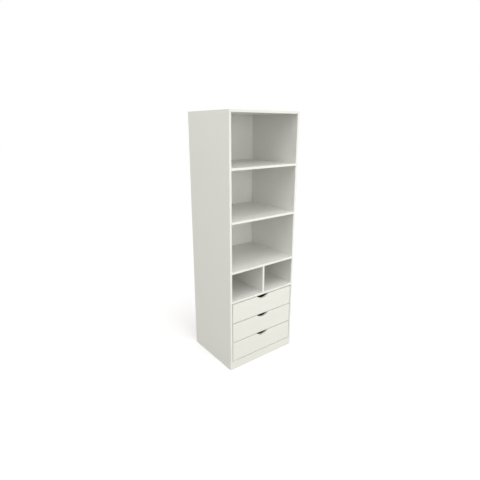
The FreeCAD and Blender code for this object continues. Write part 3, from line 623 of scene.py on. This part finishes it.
back_low, back_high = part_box("back_panel")
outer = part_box("right_side_panel")[1]
seat = back_high.y - NAIL_SIZES["Head height"]
nail_low = back_low.z + NAIL_MARGIN
nail_pitch = (outer.z - NAIL_MARGIN - nail_low) / (NAILS_PER_SIDE - 1)
driven = turn_to(BEHIND, RIGHT)
nail_places = []
for side, inward in SIDES:
    for number in range(NAILS_PER_SIDE):
        nail_places.append(((side * (outer.x - NAIL_SET_IN), seat, nail_low + number * nail_pitch), driven))
    for board in SHELVES:
        low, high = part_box(board)
        nail_places.append(((side * INNER * (1 - 2 * NAIL_X_SHARE), seat, (low.z + high.z) / 2), driven))
set_out("back_panel_nails", nail_tree(), NAIL_SIZES, nail_places, plate, "case",
        ["back_nails"])

# Cabinet rails: C-shaped runners rolled from 1.2 mm steel with a white epoxy coat, one on each side for each
# drawer. Three short screws hold each; a riveted axle carries the front roller.

ENAMEL_DEEP = (0.73, 0.73, 0.70, 1)
ENAMEL_LIGHT = (0.78, 0.78, 0.75, 1)
ENAMEL_SCALE = 520
ENAMEL_ROUGH, ENAMEL_ROUGH_SPAN = 0.28, 0.12
ENAMEL_HEIGHT = 0.00006
DRAWERS = ("lower", "middle", "upper")
HANDS = ("left", "right")
SHORT_SIZES = {"Head diameter": 0.007, "Head height": 0.0009, "Thread diameter": 0.004,
               "Core diameter": 0.0027, "Length": 0.012, "Point": 0.003, "Pitch": 0.0017,
               "Cross length": 0.0042, "Cross width": 0.0011, "Cross depth": 0.0006}
SCREW_SIDES = 20
SCREW_TIP_SHARE = 0.1
SCREW_HEAD_SHARES = ((0.0, 1.0), (0.35, 1.0), (0.8, 0.86), (1.0, 0.62))
THREAD_START_SHARE = 0.7
THREAD_END_PITCHES = 0.8
RAIL_METAL = 0.0012
RAIL_SCREW_SHARES = (0.12, 0.5, 0.88)


def white_enamel():
    """Powder coat on steel: a light orange peel under a half gloss."""
    material, shader, place = start_finish("white_enamel")
    peel = noise(place, ENAMEL_SCALE)
    peel.mix(ENAMEL_DEEP, ENAMEL_LIGHT).feed(shader.inputs["Base Color"])
    (ENAMEL_ROUGH + peel * ENAMEL_ROUGH_SPAN).feed(shader.inputs["Roughness"])
    relief(peel, shader, ENAMEL_HEIGHT)
    return material


def screw_tree():
    """A screw along Z, its head's underside at Z = 0."""
    tree, size = start_tree("cross_screw", SHORT_SIZES)
    head, core, top = size["Head diameter"] * 0.5, size["Core diameter"] * 0.5, size["Head height"]
    tip, pitch = -size["Length"], size["Pitch"]
    body = lathe(tree, [
        (tip, core * SCREW_TIP_SHARE), (tip + size["Point"], core), (-STEP, core),
        *[(top * rise, head * width) for rise, width in SCREW_HEAD_SHARES]], SCREW_SIDES)
    bare = size["Point"] * THREAD_START_SHARE
    ridge = thread(tree, size["Thread diameter"], size["Core diameter"], tip + bare,
                   size["Length"] - bare - pitch * THREAD_END_PITCHES, pitch)
    arms = cross_block(tree, size["Cross length"], size["Cross width"], top, size["Cross depth"])
    return end_tree(tree, size, carve(weld(body, ridge), *arms))


enamel = white_enamel()
dress([f"{drawer}_{hand}_cabinet_rail" for drawer in DRAWERS for hand in HANDS], enamel)
screw_shape = screw_tree()
short_places = []
for drawer in DRAWERS:
    low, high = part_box(f"{drawer}_left_cabinet_rail")
    for side, inward in SIDES:
        for share in RAIL_SCREW_SHARES:
            along = low.y + share * (high.y - low.y)
            point = (side * (INNER - RAIL_METAL), along, (low.z + high.z) / 2)
            short_places.append((point, turn_to(inward, UP)))

# Wall bracket: an L bent from 2 mm zinc-plated strip, screwed to the top panel at the rear. A wall screw
# goes through the hole in its upright and keeps the tall case from tipping.

BRACKET_METAL = 0.002
BRACKET_SCREW_X = 0.008
BRACKET_SCREW_SET = 0.024

dress(("wall_bracket",), plate)
low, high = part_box("wall_bracket")
for side, inward in SIDES:
    point = (side * BRACKET_SCREW_X, high.y - BRACKET_SCREW_SET, low.z + BRACKET_METAL)
    short_places.append((point, turn_to(UP, RIGHT)))
set_out("case_short_screws", screw_shape, SHORT_SIZES, short_places, plate, "case",
        ["short_screws"])

# Drawer fronts: faced board banded on all its edges, with a half-moon finger pull cut through the upper
# edge. Each hangs on its drawer's sides by small cam bolts.


def any_edge(x, y, z):
    return y * y < SQUARE_ON


# The fronts' faces get the warmer painted-light white.
dress([f"{drawer}_drawer_front" for drawer in DRAWERS],
      melamine("drawer_front_melamine", any_edge, nowhere, to_front))

# Drawer boxes: sides and backs of 12 mm faced board with rounded upper edges, and a bottom of bare brown
# hardboard that slides into grooves. Screws through the sides hold the back.

ROUNDED_ON = 0.3


def top_edge(x, y, z):
    return z > ROUNDED_ON


dress([f"{drawer}_drawer_{hand}_side" for drawer in DRAWERS for hand in HANDS],
      melamine("drawer_side_melamine", top_edge, rear_or_under, nowhere))
dress([f"{drawer}_drawer_back" for drawer in DRAWERS],
      melamine("drawer_back_melamine", top_edge, under_or_end, nowhere))
dress([f"{drawer}_drawer_bottom" for drawer in DRAWERS],
      hardboard("drawer_bottom_hardboard", nowhere))

# Drawer fittings: small cam locks in the outer face of each side, the bolts that they draw in from the
# front, and long screws for the back and for the rails under the sides.

MINI_CAM_SIZES = {**CAM_SIZES, "Diameter": 0.012, "Height": 0.010, "Bolt level": 0.006,
                  "Shank slot": 0.0049, "Head slot": 0.0064, "Head depth": 0.0044, "Cross length": 0.006}
MINI_BOLT_SIZES = {**BOLT_SIZES, "Reach": 0.020, "Shank diameter": 0.0045, "Neck diameter": 0.0034,
                   "Neck length": 0.0025, "Head diameter": 0.006, "Head length": 0.004}
LONG_SIZES = {**SHORT_SIZES, "Head height": 0.0022, "Thread diameter": 0.0035, "Core diameter": 0.0024,
              "Length": 0.025, "Cross depth": 0.0014}
MINI_REACH = 0.020
FIXING_LEVELS = (0.042, 0.082)
BACK_BOARD = 0.012
FOOT_SCREW_SET = 0.004

for drawer in DRAWERS:
    body = f"{drawer}_drawer"
    low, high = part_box(f"{drawer}_drawer_right_side")
    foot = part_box(f"{drawer}_drawer_right_rail")[0].z
    cams, bolts, screws = [], [], []
    for side, inward in SIDES:
        outward = tuple(-part for part in inward)
        for rise in FIXING_LEVELS:
            level = low.z + rise
            cams.append(((side * high.x, low.y + MINI_REACH, level), turn_to(outward, BEHIND)))
            bolts.append(((side * (low.x + high.x) / 2, low.y, level), turn_to(BEHIND, UP)))
            screws.append(((side * high.x, high.y - BACK_BOARD / 2, level), turn_to(outward, UP)))
        for share in RAIL_SCREW_SHARES:
            along = low.y + share * (high.y - low.y)
            screws.append(((side * (high.x - FOOT_SCREW_SET), along, foot), turn_to(DOWN, RIGHT)))
    fittings = [f"{drawer}_drawer_front_fittings"]
    set_out(f"{drawer}_drawer_cam_locks", cam_shape, MINI_CAM_SIZES, cams, zinc, body, fittings)
    set_out(f"{drawer}_drawer_cam_bolts", bolt_shape, MINI_BOLT_SIZES, bolts, plate, body,
            fittings)
    set_out(f"{drawer}_drawer_long_screws", screw_shape, LONG_SIZES, screws, plate, body,
            [f"{drawer}_drawer_screws"])

# Drawer rails and rollers: white coated rails under the drawer sides, with a roller riveted at the rear. The
# nylon rollers run free on their axles and turn as the drawer slides.

NYLON_DEEP = (0.70, 0.69, 0.63, 1)
NYLON_LIGHT = (0.80, 0.79, 0.73, 1)
NYLON_NOISE = (180, 3.0)
NYLON_ROUGH, NYLON_ROUGH_SPAN = 0.36, 0.16


def moulded_nylon():
    """Natural nylon, faintly clouded, with the bloom of a worn tread."""
    material, shader, place = start_finish("moulded_nylon")
    cloud = noise(place, *NYLON_NOISE)
    cloud.mix(NYLON_DEEP, NYLON_LIGHT).feed(shader.inputs["Base Color"])
    (NYLON_ROUGH + cloud * NYLON_ROUGH_SPAN).feed(shader.inputs["Roughness"])
    return material


dress([f"{drawer}_drawer_{hand}_rail" for drawer in DRAWERS for hand in HANDS], enamel)
dress([f"{drawer}_{part}_rollers" for drawer in DRAWERS for part in ("cabinet", "drawer")],
      moulded_nylon())

# Floor: a plain pale studio floor that runs out of sight and keeps the case's shadow. What the camera sees
# of it is white; the light that it throws back on the case is that of a grey floor.

FLOOR_SIZE = 80
FLOOR_SEEN = (1.0, 1.0, 1.0, 1)
FLOOR_BOUNCE = (0.2, 0.2, 0.2, 1)
ANY_RAY = 0.5

floor_mesh = bpy.data.meshes.new("floor")
reach = FLOOR_SIZE / 2
floor_mesh.from_pydata([(-reach, -reach, 0), (reach, -reach, 0), (reach, reach, 0), (-reach, reach, 0)], [],
                       [(0, 1, 2, 3)])
floor = bpy.data.objects.new("floor", floor_mesh)
bpy.context.scene.collection.objects.link(floor)
floor_paint, floor_shader, floor_place = start_finish("floor_paint")
rays = [floor_place.node("ShaderNodeLightPath", outlet=f"Is {ray} Ray") for ray in
        ("Camera", "Glossy", "Transmission")]
seen = rays[0] + rays[1] + rays[2] > ANY_RAY
seen.mix(FLOOR_BOUNCE, FLOOR_SEEN).feed(floor_shader.inputs["Base Color"])
floor_shader.inputs["Roughness"].default_value = 1.0
floor_shader.inputs["Specular IOR Level"].default_value = 0.0
floor_mesh.materials.append(floor_paint)

# Studio light: an even white room with broad soft lamps at the right, the front and the left. Two overhead
# have grids that keep their light on the front of each shelf and off the top. Each lamp has its place, its
# aim, its size, the width of its beam in degrees and its power in watts.

ROOM_WHITE = (1, 1, 1, 1)
ROOM_LIGHT = 1.0
CASE_MIDDLE = (0, 0, 0.95)
LAMPS = {
    "right_lamp": ((2.8, -3.2, 1.0), CASE_MIDDLE, (2.4, 2.4), 180, 33.7),
    "front_lamp": ((-0.4, -3.2, 1.2), CASE_MIDDLE, (2.0, 2.0), 180, 20.7),
    "left_lamp": ((-2.6, -0.6, 3.0), CASE_MIDDLE, (1.6, 1.6), 180, 16.3),
    "overhead_strip": ((0.0, -0.9, 3.2), (0, -1.4, 0), (2.4, 0.5), 70, 4.4),
    "high_front_lamp": ((0.0, -1.6, 2.9), (0, -0.25, 0.5), (1.6, 1.0), 60, 0.9),
}

room = bpy.data.worlds.new("room")
room.use_nodes = True
room_light = room.node_tree.nodes["Background"]
room_light.inputs["Color"].default_value = ROOM_WHITE
room_light.inputs["Strength"].default_value = ROOM_LIGHT
bpy.context.scene.world = room
for name, (spot, aim, (across, tall), beam, power) in LAMPS.items():
    lamp = bpy.data.lights.new(name, "AREA")
    lamp.shape = "RECTANGLE"
    lamp.size = across
    lamp.size_y = tall
    lamp.spread = math.radians(beam)
    lamp.energy = power
    stand = bpy.data.objects.new(name, lamp)
    stand.location = spot
    stand.rotation_euler = (Vector(aim) - Vector(spot)).to_track_quat("-Z", "Y").to_euler()
    bpy.context.scene.collection.objects.link(stand)

# Camera: at standing eye level, to the left of the case and close to it, as the photograph was taken. The
# whole frame is square. Its tilt and pan are in degrees.

CAMERA_SPOT = (-1.6625, -2.1609, 1.7250)
CAMERA_TILT = 73.104
CAMERA_PAN = -37.088
CAMERA_LENS = 27.822
CAMERA_SENSOR = 36

lens = bpy.data.cameras.new("camera")
lens.lens = CAMERA_LENS
lens.sensor_width = CAMERA_SENSOR
camera = bpy.data.objects.new("camera", lens)
camera.location = CAMERA_SPOT
camera.rotation_euler = (math.radians(CAMERA_TILT), 0, math.radians(CAMERA_PAN))
bpy.context.scene.collection.objects.link(camera)
bpy.context.scene.camera = camera
bpy.context.scene.view_settings.view_transform = "Standard"
